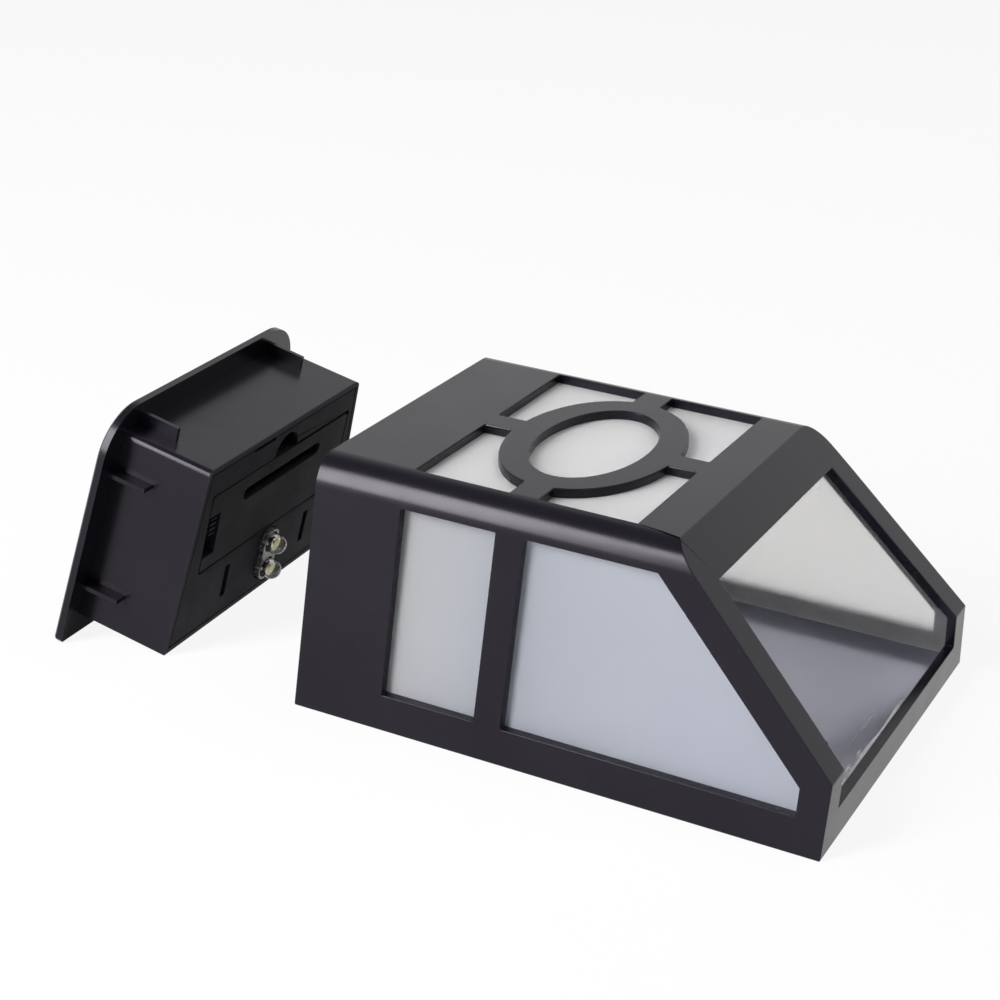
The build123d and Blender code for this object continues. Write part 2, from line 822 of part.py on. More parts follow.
# Flat contact at the plus end, its tail through the tub floor
with BuildPart() as plus_contact:
    with BuildSketch(Plane.XZ.offset(-tub_right)):
        with Locations(((tail_end + cell_depth + contact_reach) / 2, cell_level)):
            Rectangle(cell_depth + contact_reach - tail_end, strip_width)
    extrude(amount=strip)
plus_contact.part.label = "plus_contact"
plus_contact.part.locate(module_place)
export_step(plus_contact.part, "parts/plus_contact.step")

# Bent leaf contact at the minus end
with BuildPart() as minus_contact:
    with BuildSketch(Plane.XY.offset(cell_level - strip_width / 2)):
        with BuildLine() as leaf:
            FilletPolyline(
                (tail_end, tub_left + strip / 2),
                (cell_depth + leaf_half_flat + leaf_slant, tub_left + strip / 2),
                (cell_depth + leaf_half_flat + leaf_slant, cell_minus - strip / 2 - leaf_fall),
                (cell_depth + leaf_half_flat, cell_minus - strip / 2),
                (cell_depth - leaf_half_flat, cell_minus - strip / 2),
                (cell_depth - leaf_half_flat - leaf_slant, cell_minus - strip / 2 - leaf_fall),
                radius=leaf_bend,
            )
        trace(leaf.line, line_width=strip)
    extrude(amount=strip_width)
minus_contact.part.label = "minus_contact"
minus_contact.part.locate(module_place)
export_step(minus_contact.part, "parts/minus_contact.step")

# Circuit board behind the lights
with BuildPart() as circuit_board:
    with BuildSketch(Plane.YZ.offset(board_at)):
        with Locations((board_left + board_width / 2, board_mid)):
            Rectangle(board_width, board_height)
        with Locations((post_places[0], board_mid), (post_places[1], board_mid)):
            Circle(board_pin_radius + gap, mode=Mode.SUBTRACT)
        for level in led_levels:
            with Locations((led_at - lead_half_pitch, level), (led_at + lead_half_pitch, level)):
                Circle(lead_width / 2 + gap, mode=Mode.SUBTRACT)
    extrude(amount=board_thick)
circuit_board.part.label = "circuit_board"
circuit_board.part.locate(module_place)
export_step(circuit_board.part, "parts/circuit_board.step")

# Driver chip on the board
with BuildPart() as driver_chip:
    with BuildSketch(Plane.YZ.offset(board_front)):
        with Locations((parts_at, led_middle - chip_drop)):
            Rectangle(chip_length, chip_width)
    extrude(amount=chip_thick)
driver_chip.part.label = "driver_chip"
driver_chip.part.locate(module_place)
export_step(driver_chip.part, "parts/driver_chip.step")

# Choke on the board
with BuildPart() as storage_choke:
    with BuildSketch(Plane.YZ.offset(board_front)) as choke_outline:
        with Locations((parts_at, led_middle + choke_rise)):
            Rectangle(choke_size, choke_size)
        fillet(choke_outline.vertices(), radius=choke_round)
    extrude(amount=choke_thick)
storage_choke.part.label = "storage_choke"
storage_choke.part.locate(module_place)
export_step(storage_choke.part, "parts/storage_choke.step")

# Slide switch beside the battery tub
with BuildPart() as switch_body:
    with BuildSketch(Plane.YZ.offset(switch_back)):
        with Locations((switch_at, switch_mid)):
            Rectangle(switch_width, notch_length + 2 * switch_cheek)
    extrude(amount=switch_depth)
    with BuildSketch(Plane.YZ.offset(switch_back + switch_floor)):
        with Locations((switch_at, switch_mid)):
            Rectangle(knob_slot_width, knob_slot_length)
    extrude(amount=switch_depth - switch_floor, mode=Mode.SUBTRACT)
switch_body.part.label = "switch_body"
switch_body.part.locate(module_place)
export_step(switch_body.part, "parts/switch_body.step")

# Ribbed knob of the switch
with BuildPart() as switch_knob:
    with BuildSketch(Plane.YZ.offset(switch_back + switch_floor)):
        with Locations((switch_at, knob_level)):
            Rectangle(knob_width, knob_length)
    extrude(amount=lid_floor + knob_rise - switch_back - switch_floor)
    with BuildSketch(Plane.YZ.offset(lid_floor + knob_rise)):
        with Locations((switch_at, knob_level)):
            with GridLocations(1, grip_pitch, 1, 3):
                Rectangle(knob_width, grip_width)
    extrude(amount=-grip_depth, mode=Mode.SUBTRACT)
switch_knob.part.label = "switch_knob"
switch_knob.part.locate(module_place)
export_step(switch_knob.part, "parts/switch_knob.step")

# Upper light: a flanged body turned about its own axis, with a domed tip
led_axes = [Axis((0, led_at, level), (1, 0, 0)) for level in led_levels]
led_tip = led_base + led_straight + led_radius
with BuildPart() as led_upper:
    with BuildSketch(Plane.XY.offset(led_levels[1])):
        with BuildLine():
            Polyline(
                (led_base + led_straight, led_at + led_radius),
                (led_base + led_flange_thick, led_at + led_radius),
                (led_base + led_flange_thick, led_at + led_radius + led_flange),
                (led_base, led_at + led_radius + led_flange),
                (led_base, led_at),
                (led_tip, led_at),
            )
            RadiusArc((led_tip, led_at), (led_base + led_straight, led_at + led_radius), -led_radius)
        make_face()
    revolve(axis=led_axes[1])
led_upper.part.label = "led_upper"
led_upper.part.locate(module_place)
export_step(led_upper.part, "parts/led_upper.step")

# Lower light
with BuildPart() as led_lower:
    with BuildSketch(Plane.XY.offset(led_levels[0])):
        with BuildLine():
            Polyline(
                (led_base + led_straight, led_at + led_radius),
                (led_base + led_flange_thick, led_at + led_radius),
                (led_base + led_flange_thick, led_at + led_radius + led_flange),
                (led_base, led_at + led_radius + led_flange),
                (led_base, led_at),
                (led_tip, led_at),
            )
            RadiusArc((led_tip, led_at), (led_base + led_straight, led_at + led_radius), -led_radius)
        make_face()
    revolve(axis=led_axes[0])
led_lower.part.label = "led_lower"
led_lower.part.locate(module_place)
export_step(led_lower.part, "parts/led_lower.step")

# Clear holder around the two lights
with BuildPart() as led_holder:
    with BuildSketch(Plane.YZ.offset(lid_floor - holder_thick)):
        with Locations((led_at, led_middle)):
            Rectangle(led_hole_width + 2 * holder_wing, led_pitch + led_radius + led_hole_margin)
    extrude(amount=holder_thick)
    with BuildSketch(Plane.YZ.offset(lid_floor)):
        with Locations((led_at, led_middle)):
            SlotOverall(led_hole_length - 2 * gap, led_hole_width - 2 * gap, rotation=90)
    extrude(amount=lid_thick + holder_rise)
    with BuildSketch(Plane.YZ.offset(lid_floor - holder_thick)):
        with Locations((led_at, led_levels[0]), (led_at, led_levels[1])):
            Circle(led_radius + gap)
    extrude(amount=holder_thick + lid_thick + holder_rise, mode=Mode.SUBTRACT)
led_holder.part.label = "led_holder"
led_holder.part.locate(module_place)
export_step(led_holder.part, "parts/led_holder.step")

# Four square tinned leads from the lights through the board
with BuildPart() as led_leads:
    with BuildSketch(Plane.YZ.offset(board_at - lead_end)):
        for level in led_levels:
            with Locations((led_at - lead_half_pitch, level), (led_at + lead_half_pitch, level)):
                Rectangle(lead_width, lead_width)
    extrude(amount=led_base - board_at + lead_end)
led_leads.part.label = "led_leads"
led_leads.part.locate(module_place)
export_step(led_leads.part, "parts/led_leads.step")

# Panel wires: straight runs joined by round bends, from the panel board to the circuit board
wire_cross = board_at / 2
with BuildPart() as panel_wire_red:
    with BuildLine() as red_run:
        FilletPolyline(
            (panel_floor, wire_hole_at + wire_half_pitch, board_mid),
            (wire_cross - wire_jog, wire_hole_at + wire_half_pitch, board_mid),
            (wire_cross + wire_jog, wire_hole_at + wire_half_pitch + red_aside, board_mid),
            (board_at, wire_hole_at + wire_half_pitch + red_aside, board_mid),
            radius=wire_bend,
        )
    with BuildSketch(Plane.YZ.offset(panel_floor)):
        with Locations((wire_hole_at + wire_half_pitch, board_mid)):
            RegularPolygon(wire_radius, wire_sides)
    sweep(path=red_run.line)
panel_wire_red.part.label = "panel_wire_red"
panel_wire_red.part.locate(module_place)
export_step(panel_wire_red.part, "parts/panel_wire_red.step")

with BuildPart() as panel_wire_black:
    with BuildLine() as black_run:
        FilletPolyline(
            (panel_floor, wire_hole_at - wire_half_pitch, board_mid),
            (wire_cross - wire_jog, wire_hole_at - wire_half_pitch, board_mid),
            (wire_cross + wire_jog, wire_hole_at - wire_half_pitch - black_aside, board_mid),
            (board_at, wire_hole_at - wire_half_pitch - black_aside, board_mid),
            radius=wire_bend,
        )
    with BuildSketch(Plane.YZ.offset(panel_floor)):
        with Locations((wire_hole_at - wire_half_pitch, board_mid)):
            RegularPolygon(wire_radius, wire_sides)
    sweep(path=black_run.line)
panel_wire_black.part.label = "panel_wire_black"
panel_wire_black.part.locate(module_place)
export_step(panel_wire_black.part, "parts/panel_wire_black.step")

# Battery wires, from the plus contact to the board and from the minus contact over the switch
plus_drop = board_left + board_width - board_post_inset
with BuildPart() as battery_wire_red:
    with BuildLine() as plus_run:
        FilletPolyline(
            (tail_mid, cell_plus, cell_level),
            (tail_mid, plus_drop, cell_level),
            (tail_mid, plus_drop, board_mid),
            (board_at, plus_drop, board_mid),
            radius=wire_bend,
        )
    with BuildSketch(Plane.XZ.offset(-cell_plus)):
        with Locations((tail_mid, cell_level)):
            RegularPolygon(wire_radius, wire_sides)
    sweep(path=plus_run.line)
battery_wire_red.part.label = "battery_wire_red"
battery_wire_red.part.locate(module_place)
export_step(battery_wire_red.part, "parts/battery_wire_red.step")

with BuildPart() as switch_link_wire:
    with BuildLine() as link_run:
        FilletPolyline(
            (tail_mid, tub_left, cell_level),
            (tail_mid, switch_at, cell_level),
            (switch_back, switch_at, cell_level),
            radius=wire_bend,
        )
    with BuildSketch(Plane.XZ.offset(-tub_left)):
        with Locations((tail_mid, cell_level)):
            RegularPolygon(wire_radius, wire_sides)
    sweep(path=link_run.line)
switch_link_wire.part.label = "switch_link_wire"
switch_link_wire.part.locate(module_place)
export_step(switch_link_wire.part, "parts/switch_link_wire.step")

minus_level = board_mid - minus_inset
minus_back = board_at - minus_behind
minus_start = cell_level - minus_below
minus_end = post_places[0] + minus_aside
with BuildPart() as battery_wire_black:
    with BuildLine() as minus_run:
        FilletPolyline(
            (switch_back, switch_at, minus_start),
            (minus_back, switch_at, minus_start),
            (minus_back, switch_at, minus_level),
            (minus_back, minus_end, minus_level),
            (board_at, minus_end, minus_level),
            radius=wire_bend,
        )
    with BuildSketch(Plane.YZ.offset(switch_back)):
        with Locations((switch_at, minus_start)):
            RegularPolygon(wire_radius, wire_sides)
    sweep(path=minus_run.line)
battery_wire_black.part.label = "battery_wire_black"
battery_wire_black.part.locate(module_place)
export_step(battery_wire_black.part, "parts/battery_wire_black.step")
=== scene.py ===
import bpy
import bmesh
import math
from mathutils import Matrix, Vector


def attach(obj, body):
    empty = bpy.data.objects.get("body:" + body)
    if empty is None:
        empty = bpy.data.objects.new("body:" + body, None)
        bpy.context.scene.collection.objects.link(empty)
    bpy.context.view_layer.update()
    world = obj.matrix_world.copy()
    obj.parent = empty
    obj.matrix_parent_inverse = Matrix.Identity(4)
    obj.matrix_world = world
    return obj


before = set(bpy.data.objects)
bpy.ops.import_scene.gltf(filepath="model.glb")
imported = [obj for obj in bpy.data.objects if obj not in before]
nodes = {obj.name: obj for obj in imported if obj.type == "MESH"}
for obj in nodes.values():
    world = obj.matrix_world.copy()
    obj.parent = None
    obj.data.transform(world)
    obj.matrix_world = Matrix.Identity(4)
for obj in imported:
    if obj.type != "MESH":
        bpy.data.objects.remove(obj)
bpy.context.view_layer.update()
scene = bpy.context.scene
scene.view_settings.view_transform = "Standard"
print("frame loaded:", len(nodes), "nodes")

# how the solar module stands beside the lantern, as in the frame
moduleStand = {
    "place": (-0.12368, -0.00725),
    "turn": 0.039,
    "boxDepth": 0.0235,
    "flangeBelow": 0.00515,
}


def moduleMatrix():
    lean = math.atan(moduleStand["flangeBelow"] / moduleStand["boxDepth"])
    turn = moduleStand["turn"]
    along = Vector((math.cos(lean) * math.cos(turn), math.cos(lean) * math.sin(turn), -math.sin(lean)))
    across = Vector((-math.sin(turn), math.cos(turn), 0))
    up = along.cross(across)
    rows = Matrix((along, across, up)).transposed()
    lift = moduleStand["boxDepth"] * math.sin(lean)
    return Matrix.Translation((*moduleStand["place"], lift)) @ rows.to_4x4()


moduleFrame = moduleMatrix()


# node graph helpers
def newMaterial(name):
    material = bpy.data.materials.new(name)
    material.use_nodes = True
    tree = material.node_tree
    return material, tree, tree.nodes["Principled BSDF"]


def addNode(tree, kind, values=None, **settings):
    node = tree.nodes.new(kind)
    for key, value in settings.items():
        setattr(node, key, value)
    for key, value in (values or {}).items():
        node.inputs[key].default_value = value
    return node


def objectCoordinates(tree, scale=(1, 1, 1)):
    coordinates = addNode(tree, "ShaderNodeTexCoord")
    if scale == (1, 1, 1):
        return coordinates.outputs["Object"]
    mapping = addNode(tree, "ShaderNodeMapping", {"Scale": scale})
    tree.links.new(coordinates.outputs["Object"], mapping.inputs["Vector"])
    return mapping.outputs["Vector"]


def moduleCoordinates(tree):
    coordinates = addNode(tree, "ShaderNodeTexCoord")
    mapping = addNode(tree, "ShaderNodeMapping", vector_type="TEXTURE")
    mapping.inputs["Location"].default_value = moduleFrame.to_translation()
    mapping.inputs["Rotation"].default_value = moduleFrame.to_euler("XYZ")
    tree.links.new(coordinates.outputs["Object"], mapping.inputs["Vector"])
    return mapping.outputs["Vector"]


def addNoise(tree, vector, scale, detail=2.0, roughness=0.5):
    noise = addNode(tree, "ShaderNodeTexNoise", {"Scale": scale, "Detail": detail, "Roughness": roughness})
    tree.links.new(vector, noise.inputs["Vector"])
    return noise.outputs["Fac"]


def mapRange(tree, value, fromLow, fromHigh, low, high):
    remap = addNode(tree, "ShaderNodeMapRange", {
        "From Min": fromLow, "From Max": fromHigh, "To Min": low, "To Max": high})
    tree.links.new(value, remap.inputs["Value"])
    return remap.outputs["Result"]


# most of a noise texture's values lie between 0.3 and 0.7
def spreadNoise(tree, noise, low, high):
    return mapRange(tree, noise, 0.3, 0.7, low, high)


def mixColour(tree, factor, first, second):
    mix = addNode(tree, "ShaderNodeMix", data_type="RGBA")
    for socket, colour in ((mix.inputs[6], first), (mix.inputs[7], second)):
        if isinstance(colour, tuple):
            socket.default_value = (*colour, 1)
        else:
            tree.links.new(colour, socket)
    tree.links.new(factor, mix.inputs[0])
    return mix.outputs[2]


def addBump(tree, shader, height, strength, distance):
    bump = addNode(tree, "ShaderNodeBump", {"Strength": strength, "Distance": distance})
    tree.links.new(height, bump.inputs["Height"])
    tree.links.new(bump.outputs["Normal"], shader.inputs["Normal"])


def addMath(tree, operation, first, second=None):
    node = addNode(tree, "ShaderNodeMath", operation=operation)
    for index, value in ((0, first), (1, second)):
        if value is None:
            continue
        if isinstance(value, (int, float)):
            node.inputs[index].default_value = value
        else:
            tree.links.new(value, node.inputs[index])
    return node.outputs[0]


# black moulded plastic: satin on the lantern and the box, matt on the lid and the door
satinBlackLook = {
    "deep": (0.0046, 0.0040, 0.0068),
    "pale": (0.0074, 0.0064, 0.0104),
    "cloudScale": 22.0,
    "smearScale": 70.0,
    "roughLow": 0.22,
    "roughHigh": 0.29,
    "gloss": 0.25,
    "grainScale": 2600.0,
    "grainDepth": 0.000012,
    "grainBump": 0.35,
}
mattBlackLook = {
    "deep": (0.0048, 0.0043, 0.0062),
    "pale": (0.0074, 0.0067, 0.0096),
    "cloudScale": 22.0,
    "smearScale": 90.0,
    "roughLow": 0.62,
    "roughHigh": 0.74,
    "gloss": 0.12,
    "grainScale": 2600.0,
    "grainDepth": 0.00002,
    "grainBump": 0.35,
}
glossTint = (0.97, 0.91, 1.0)
rimFrom = 0.0231  # the light end of the box is matt from its rim on, like the lid in it


def blackMoulding(name, look, endLook=None):
    material, tree, shader = newMaterial(name)
    vector = objectCoordinates(tree)
    cloud = addNoise(tree, vector, look["cloudScale"], 4)
    smear = addNoise(tree, vector, look["smearScale"], 6, 0.6)
    grain = addNoise(tree, vector, look["grainScale"], 2)
    colour = mixColour(tree, mapRange(tree, cloud, 0.35, 0.65, 0, 1), look["deep"], look["pale"])
    tree.links.new(colour, shader.inputs["Base Color"])
    rough = spreadNoise(tree, smear, look["roughLow"], look["roughHigh"])
    shader.inputs["Specular IOR Level"].default_value = look["gloss"]
    shader.inputs["Specular Tint"].default_value = (*glossTint, 1)
    if endLook:
        axes = addNode(tree, "ShaderNodeSeparateXYZ")
        tree.links.new(moduleCoordinates(tree), axes.inputs[0])
        end = addMath(tree, "GREATER_THAN", axes.outputs["X"], rimFrom)
        rough = addMath(tree, "MAXIMUM", rough, addMath(tree, "MULTIPLY", end, endLook["roughHigh"]))
    tree.links.new(rough, shader.inputs["Roughness"])
    addBump(tree, shader, grain, look["grainBump"], look["grainDepth"])
    return material


# frosted window sheets; the near sheet's colour holds painted light and shade: its narrow window end is
# painted lighter, and its big window is painted darker and bluer
frostedSheetLook = {
    "cloudScale": 30.0,
    "grainScale": 3200.0,
    "grainDepth": 0.00003,
    "grainBump": 0.3,
    "roughLow": 0.5,
    "roughHigh": 0.62,
    "ior": 1.49,
}
sheetTint = {
    "frontSheet": {
        "coolAndShaded": (0.94, 0.94, 0.95),
        "warmAndLit": (0.97, 0.965, 0.955),
        "transmission": 0.55,
    },
    # near sheet: painted shade in the darker, bluer tone on the big window, and painted light in the paler
    # tone towards the narrow window end
    "nearSheet": {
        "coolAndShaded": (0.755, 0.785, 0.86),
        "warmAndLit": (0.945, 0.94, 0.95),
        "transmission": 0.8,
        "paintedLitEnd": (-0.012, -0.045),
    },
    "farSheet": {
        "coolAndShaded": (0.955, 0.95, 0.942),
        "warmAndLit": (0.972, 0.962, 0.945),
        "transmission": 0.84,
    },
}


def frostedSheet(name):
    look = {**frostedSheetLook, **sheetTint[name]}
    material, tree, shader = newMaterial(name)
    vector = objectCoordinates(tree)
    cloud = addNoise(tree, vector, look["cloudScale"], 3)
    grain = addNoise(tree, vector, look["grainScale"], 2)
    warmthAndLight = spreadNoise(tree, cloud, 0, 1)
    # painted light and shade along X: the near sheet runs from its painted-shade tone on the big window to
    # its painted-light tone at the narrow window end
    if "paintedLitEnd" in look:
        axes = addNode(tree, "ShaderNodeSeparateXYZ")
        tree.links.new(vector, axes.inputs[0])
        along = mapRange(tree, axes.outputs["X"], *look["paintedLitEnd"], 0, 1)
        warmthAndLight = addMath(tree, "MULTIPLY", along, mapRange(tree, warmthAndLight, 0, 1, 0.7, 1))
    tree.links.new(mixColour(tree, warmthAndLight, look["coolAndShaded"], look["warmAndLit"]), shader.inputs["Base Color"])
    tree.links.new(spreadNoise(tree, grain, look["roughLow"], look["roughHigh"]), shader.inputs["Roughness"])
    shader.inputs["Transmission Weight"].default_value = look["transmission"]
    shader.inputs["IOR"].default_value = look["ior"]
    addBump(tree, shader, grain, look["grainBump"], look["grainDepth"])
    return material


# silvered sheet on the floor of the light chamber
silverSheetLook = {
    "bright": (0.42, 0.425, 0.505),
    "dull": (0.37, 0.375, 0.445),
    "scuff": (0.72, 0.70, 0.70),
    "scuffFrom": 0.0515,
    "scuffTo": 0.0565,
    "edgeFrom": 0.0565,
    "edgeSway": 0.0016,
    "wornEnd": (0.012, 0.020),
    "cloudScale": 26.0,
    "roughLow": 0.16,
    "roughHigh": 0.24,
    "metal": 0.76,
    "wornMetal": 0.3,
    "wornRough": 0.5,
    "scratch": (900.0, 160.0, 400.0),
    "scratchSpan": (0.57, 0.66),
    "waveScale": 55.0,
    "waveDepth": 0.00025,
}


def silverSheet():
    look = silverSheetLook
    material, tree, shader = newMaterial("silverSheet")
    vector = objectCoordinates(tree)
    cloud = addNoise(tree, vector, look["cloudScale"], 5)
    wave = addNoise(tree, vector, look["waveScale"], 1)
    colour = mixColour(tree, spreadNoise(tree, cloud, 0, 1), look["bright"], look["dull"])
    axes = addNode(tree, "ShaderNodeSeparateXYZ")
    tree.links.new(vector, axes.inputs[0])
    scratch = addNoise(tree, objectCoordinates(tree, look["scratch"]), 1.0, 3)
    worn = mapRange(tree, axes.outputs["X"], look["scuffFrom"], look["scuffTo"], 0, 1)
    worn = addMath(tree, "MULTIPLY", worn, mapRange(tree, scratch, *look["scratchSpan"], 0, 1))
    sway = addMath(tree, "MULTIPLY", addMath(tree, "SUBTRACT", wave, 0.5), look["edgeSway"])
    edge = addMath(tree, "GREATER_THAN", addMath(tree, "ADD", axes.outputs["X"], sway), look["edgeFrom"])
    worn = addMath(tree, "MAXIMUM", worn, edge)
    fade = mapRange(tree, axes.outputs["Y"], *look["wornEnd"], 1, 0)
    worn = addMath(tree, "MULTIPLY", worn, fade)
    tree.links.new(mixColour(tree, worn, colour, look["scuff"]), shader.inputs["Base Color"])
    rough = spreadNoise(tree, cloud, look["roughLow"], look["roughHigh"])
    rough = addMath(tree, "MAXIMUM", rough, addMath(tree, "MULTIPLY", worn, look["wornRough"]))
    tree.links.new(rough, shader.inputs["Roughness"])
    tree.links.new(mapRange(tree, worn, 0, 1, look["metal"], look["wornMetal"]), shader.inputs["Metallic"])
    addBump(tree, shader, wave, 0.2, look["waveDepth"])
    return material


# plated steel of the screws, contacts and leads
platedSteelLook = {
    "bright": (0.66, 0.65, 0.63),
    "dull": (0.50, 0.50, 0.50),
    "cloudScale": 240.0,
    "brush": (900.0, 900.0, 120.0),
    "roughLow": 0.22,
    "roughHigh": 0.4,
    "brushDepth": 0.00002,
}


def platedSteel():
    look = platedSteelLook
    material, tree, shader = newMaterial("platedSteel")
    brush = addNoise(tree, objectCoordinates(tree, look["brush"]), 1.0, 4)
    cloud = addNoise(tree, objectCoordinates(tree), look["cloudScale"], 3)
    colour = mixColour(tree, spreadNoise(tree, cloud, 0, 1), look["bright"], look["dull"])
    tree.links.new(colour, shader.inputs["Base Color"])
    tree.links.new(spreadNoise(tree, brush, look["roughLow"], look["roughHigh"]), shader.inputs["Roughness"])
    shader.inputs["Metallic"].default_value = 1.0
    addBump(tree, shader, brush, 0.3, look["brushDepth"])
    return material


# solar panel: dark board, striped cells and clear cover; cells and cover have little glare
panelLook = {
    "boardDeep": (0.012, 0.014, 0.022),
    "boardPale": (0.022, 0.024, 0.034),
    "cellDeep": (0.004, 0.007, 0.030),
    "cellPale": (0.012, 0.022, 0.085),
    "line": (0.42, 0.43, 0.46),
    "weaveScale": 700.0,
    "weaveDepth": 0.00003,
    "crystalScale": 420.0,
    "fingerPitch": 0.0019,
    "fingerWidth": 0.10,
    "fingerShade": 0.55,
    "railPitch": 0.0078,
    "railWidth": 0.11,
    "lineRise": 0.00004,
    "cellGloss": 0.02,
}


def panelBoard():
    look = panelLook
    material, tree, shader = newMaterial("panelBoard")
    weave = addNoise(tree, objectCoordinates(tree), look["weaveScale"], 3)
    colour = mixColour(tree, spreadNoise(tree, weave, 0, 1), look["boardDeep"], look["boardPale"])
    tree.links.new(colour, shader.inputs["Base Color"])
    tree.links.new(spreadNoise(tree, weave, 0.35, 0.5), shader.inputs["Roughness"])
    addBump(tree, shader, weave, 0.2, look["weaveDepth"])
    return material


def stripeMask(tree, value, pitch, width):
    part = addMath(tree, "FRACT", addMath(tree, "DIVIDE", value, pitch))
    offMiddle = addMath(tree, "ABSOLUTE", addMath(tree, "SUBTRACT", part, 0.5))
    return addMath(tree, "LESS_THAN", offMiddle, width / 2)


def solarCells():
    look = panelLook
    material, tree, shader = newMaterial("solarCells")
    local = moduleCoordinates(tree)
    axes = addNode(tree, "ShaderNodeSeparateXYZ")
    tree.links.new(local, axes.inputs[0])
    crystal = addNode(tree, "ShaderNodeTexVoronoi", {"Scale": look["crystalScale"]})
    tree.links.new(local, crystal.inputs["Vector"])
    shade = addNode(tree, "ShaderNodeSeparateColor")
    tree.links.new(crystal.outputs["Color"], shade.inputs[0])
    silicon = mixColour(tree, shade.outputs[0], look["cellDeep"], look["cellPale"])
    finger = stripeMask(tree, axes.outputs["Z"], look["fingerPitch"], look["fingerWidth"])
    rail = stripeMask(tree, axes.outputs["Y"], look["railPitch"], look["railWidth"])
    lines = addMath(tree, "MAXIMUM", addMath(tree, "MULTIPLY", finger, look["fingerShade"]), rail)
    tree.links.new(mixColour(tree, lines, silicon, look["line"]), shader.inputs["Base Color"])
    tree.links.new(mapRange(tree, shade.outputs[1], 0, 1, 0.16, 0.3), shader.inputs["Roughness"])
    addBump(tree, shader, lines, 0.25, look["lineRise"])
    shader.inputs["Specular IOR Level"].default_value = look["cellGloss"]
    return material


clearCoverLook = {
    "tint": (0.93, 0.95, 0.98),
    "smear": (0.97, 0.98, 1.0),
    "smearScale": 60.0,
    "roughLow": 0.03,
    "roughHigh": 0.09,
    "ior": 1.07,
}


def clearCover():
    look = clearCoverLook
    material, tree, shader = newMaterial("clearCover")
    smear = addNoise(tree, objectCoordinates(tree), look["smearScale"], 5)
    tree.links.new(mixColour(tree, smear, look["tint"], look["smear"]), shader.inputs["Base Color"])
    tree.links.new(spreadNoise(tree, smear, look["roughLow"], look["roughHigh"]), shader.inputs["Roughness"])
    shader.inputs["Transmission Weight"].default_value = 1.0
    shader.inputs["IOR"].default_value = look["ior"]
    return material


# shrink sleeve of the cell, with a bare metal plus end
cellSleeveLook = {
    "sleeve": (0.012, 0.045, 0.02),
    "sleevePale": (0.018, 0.065, 0.028),
    "band": (0.62, 0.62, 0.60),
    "bandFrom": 0.0205,
    "metalFrom": 0.0293,
    "cloudScale": 160.0,
}


def cellSleeve():
    look = cellSleeveLook
    material, tree, shader = newMaterial("cellSleeve")
    local = moduleCoordinates(tree)
    axes = addNode(tree, "ShaderNodeSeparateXYZ")
    tree.links.new(local, axes.inputs[0])
    cloud = addNoise(tree, local, look["cloudScale"], 4)
    sleeve = mixColour(tree, spreadNoise(tree, cloud, 0, 1), look["sleeve"], look["sleevePale"])
    band = addMath(tree, "GREATER_THAN", axes.outputs["Y"], look["bandFrom"])
    metal = addMath(tree, "GREATER_THAN", axes.outputs["Y"], look["metalFrom"])
    tree.links.new(mixColour(tree, band, sleeve, look["band"]), shader.inputs["Base Color"])
    tree.links.new(metal, shader.inputs["Metallic"])
    tree.links.new(spreadNoise(tree, cloud, 0.24, 0.36), shader.inputs["Roughness"])
    addBump(tree, shader, cloud, 0.08, 0.00005)
    return material


# green board with faint tracks
boardLook = {
    "mask": (0.010, 0.075, 0.028),
    "track": (0.020, 0.13, 0.05),
    "trackScale": 480.0,
    "trackDepth": 0.00003,
}


def greenBoard():
    look = boardLook
    material, tree, shader = newMaterial("greenBoard")
    cells = addNode(tree, "ShaderNodeTexVoronoi", {"Scale": look["trackScale"]},
                    feature="F1", distance="MANHATTAN")
    tree.links.new(moduleCoordinates(tree), cells.inputs["Vector"])
    track = mapRange(tree, cells.outputs["Distance"], 0.42, 0.5, 0, 1)
    tree.links.new(mixColour(tree, track, look["mask"], look["track"]), shader.inputs["Base Color"])
    tree.links.new(mapRange(tree, track, 0, 1, 0.22, 0.32), shader.inputs["Roughness"])
    addBump(tree, shader, track, 0.3, look["trackDepth"])
    return material


# matt moulded components on the board and the switch
componentLook = {
    "deep": (0.012, 0.012, 0.013),
    "pale": (0.026, 0.026, 0.027),
    "grainScale": 1500.0,
    "grainDepth": 0.00004,
}


def componentBlack():
    look = componentLook
    material, tree, shader = newMaterial("componentBlack")
    grain = addNoise(tree, objectCoordinates(tree), look["grainScale"], 3)
    tree.links.new(mixColour(tree, grain, look["deep"], look["pale"]), shader.inputs["Base Color"])
    tree.links.new(spreadNoise(tree, grain, 0.5, 0.68), shader.inputs["Roughness"])
    addBump(tree, shader, grain, 0.3, look["grainDepth"])
    return material


# clear resin of the lights
clearResinLook = {
    "tint": (0.80, 0.80, 0.73),
    "pale": (0.86, 0.86, 0.79),
    "cloudScale": 300.0,
    "roughLow": 0.015,
    "roughHigh": 0.05,
    "ior": 1.5,
}


def clearResin():
    look = clearResinLook
    material, tree, shader = newMaterial("clearResin")
    cloud = addNoise(tree, objectCoordinates(tree), look["cloudScale"], 2)
    tree.links.new(mixColour(tree, cloud, look["tint"], look["pale"]), shader.inputs["Base Color"])
    tree.links.new(spreadNoise(tree, cloud, look["roughLow"], look["roughHigh"]), shader.inputs["Roughness"])
    shader.inputs["Transmission Weight"].default_value = 1.0
    shader.inputs["IOR"].default_value = look["ior"]
    return material


# clear holder round the lights
clearHolderLook = {
    "clear": (0.50, 0.50, 0.50),
    "milk": (0.74, 0.74, 0.735),
    "cloudScale": 420.0,
    "cloudDepth": 0.0003,
    "roughLow": 0.08,
    "roughHigh": 0.24,
    "transmission": 0.9,
    "ior": 1.49,
}


